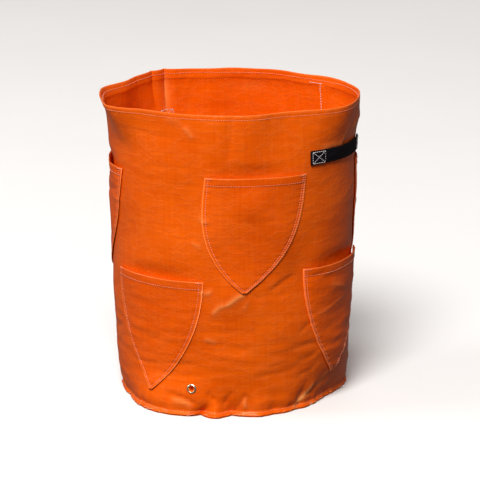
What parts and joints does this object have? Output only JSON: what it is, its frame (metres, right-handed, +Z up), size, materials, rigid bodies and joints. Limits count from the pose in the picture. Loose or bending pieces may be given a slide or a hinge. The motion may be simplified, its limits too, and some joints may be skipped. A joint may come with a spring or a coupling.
{
  "type": "strawberry grow bag",
  "caption": "Open tub of woven plastic cloth with sewn-on planting pockets in two staggered rings, two side handle straps and drainage eyelets near the foot",
  "frame": {"origin": "middle of the base panel's underside, on the ground", "axes": "+Z up to the rim, +X to the right as seen from the front, +Y to the back; the front is between the upper front pocket and the lower front-left pocket"},
  "size_m": [0.384, 0.3484, 0.45],
  "materials": {
    "bag_cloth": "woven plastic cloth with a thin gloss film, creased",
    "pocket_cloth": "woven plastic cloth with a thin gloss film, creased",
    "webbing": "flat woven polypropylene webbing, matt",
    "eyelet_metal": "pale brass-plated steel, polished"
  },
  "bodies": {
    "root": {"bag_wall": "bag_cloth", "base_panel": "bag_cloth", "upper_pocket_front": "pocket_cloth", "upper_pocket_right": "pocket_cloth", "upper_pocket_back": "pocket_cloth", "upper_pocket_left": "pocket_cloth", "lower_pocket_front_left": "pocket_cloth", "lower_pocket_front_right": "pocket_cloth", "lower_pocket_back_right": "pocket_cloth", "lower_pocket_back_left": "pocket_cloth", "handle_strap_right": "webbing", "handle_strap_left": "webbing", "eyelet_front": "eyelet_metal", "eyelet_back": "eyelet_metal"}
  },
  "joints": []
}
